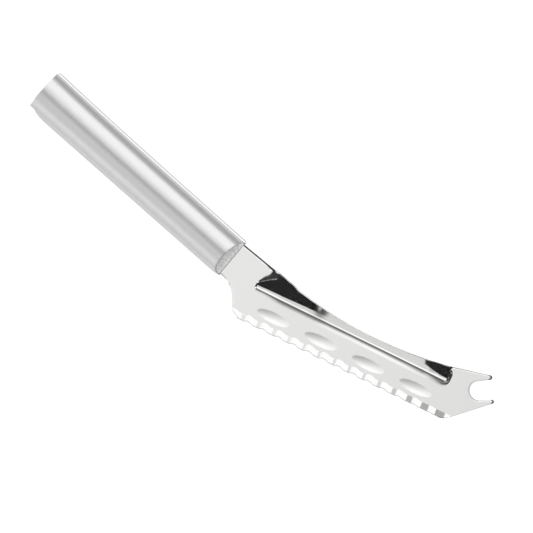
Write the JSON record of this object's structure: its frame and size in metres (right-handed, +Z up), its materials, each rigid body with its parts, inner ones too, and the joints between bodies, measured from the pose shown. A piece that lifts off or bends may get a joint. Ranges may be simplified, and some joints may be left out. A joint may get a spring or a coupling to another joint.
{
  "type": "cheese knife",
  "caption": "Forked cheese knife with a serrated, ribbed steel blade and a solid cast aluminium handle, for cutting and serving cheese.",
  "frame": {"origin": "middle of the knife's box, on the surface that it lies on", "axes": "+X along the handle from the butt to the tip, +Y towards the spine, +Z up through the thickness, on the side with the rib"},
  "size_m": [0.2452, 0.0574, 0.016],
  "materials": {
    "blade_steel": "finely ground across the blade, with brighter ground hollows along the cutting edge",
    "handle_aluminium": "satin, brushed across the handle, rough as cast at the front end"
  },
  "bodies": {
    "root": {"blade": "blade_steel", "handle": "handle_aluminium"}
  },
  "joints": []
}
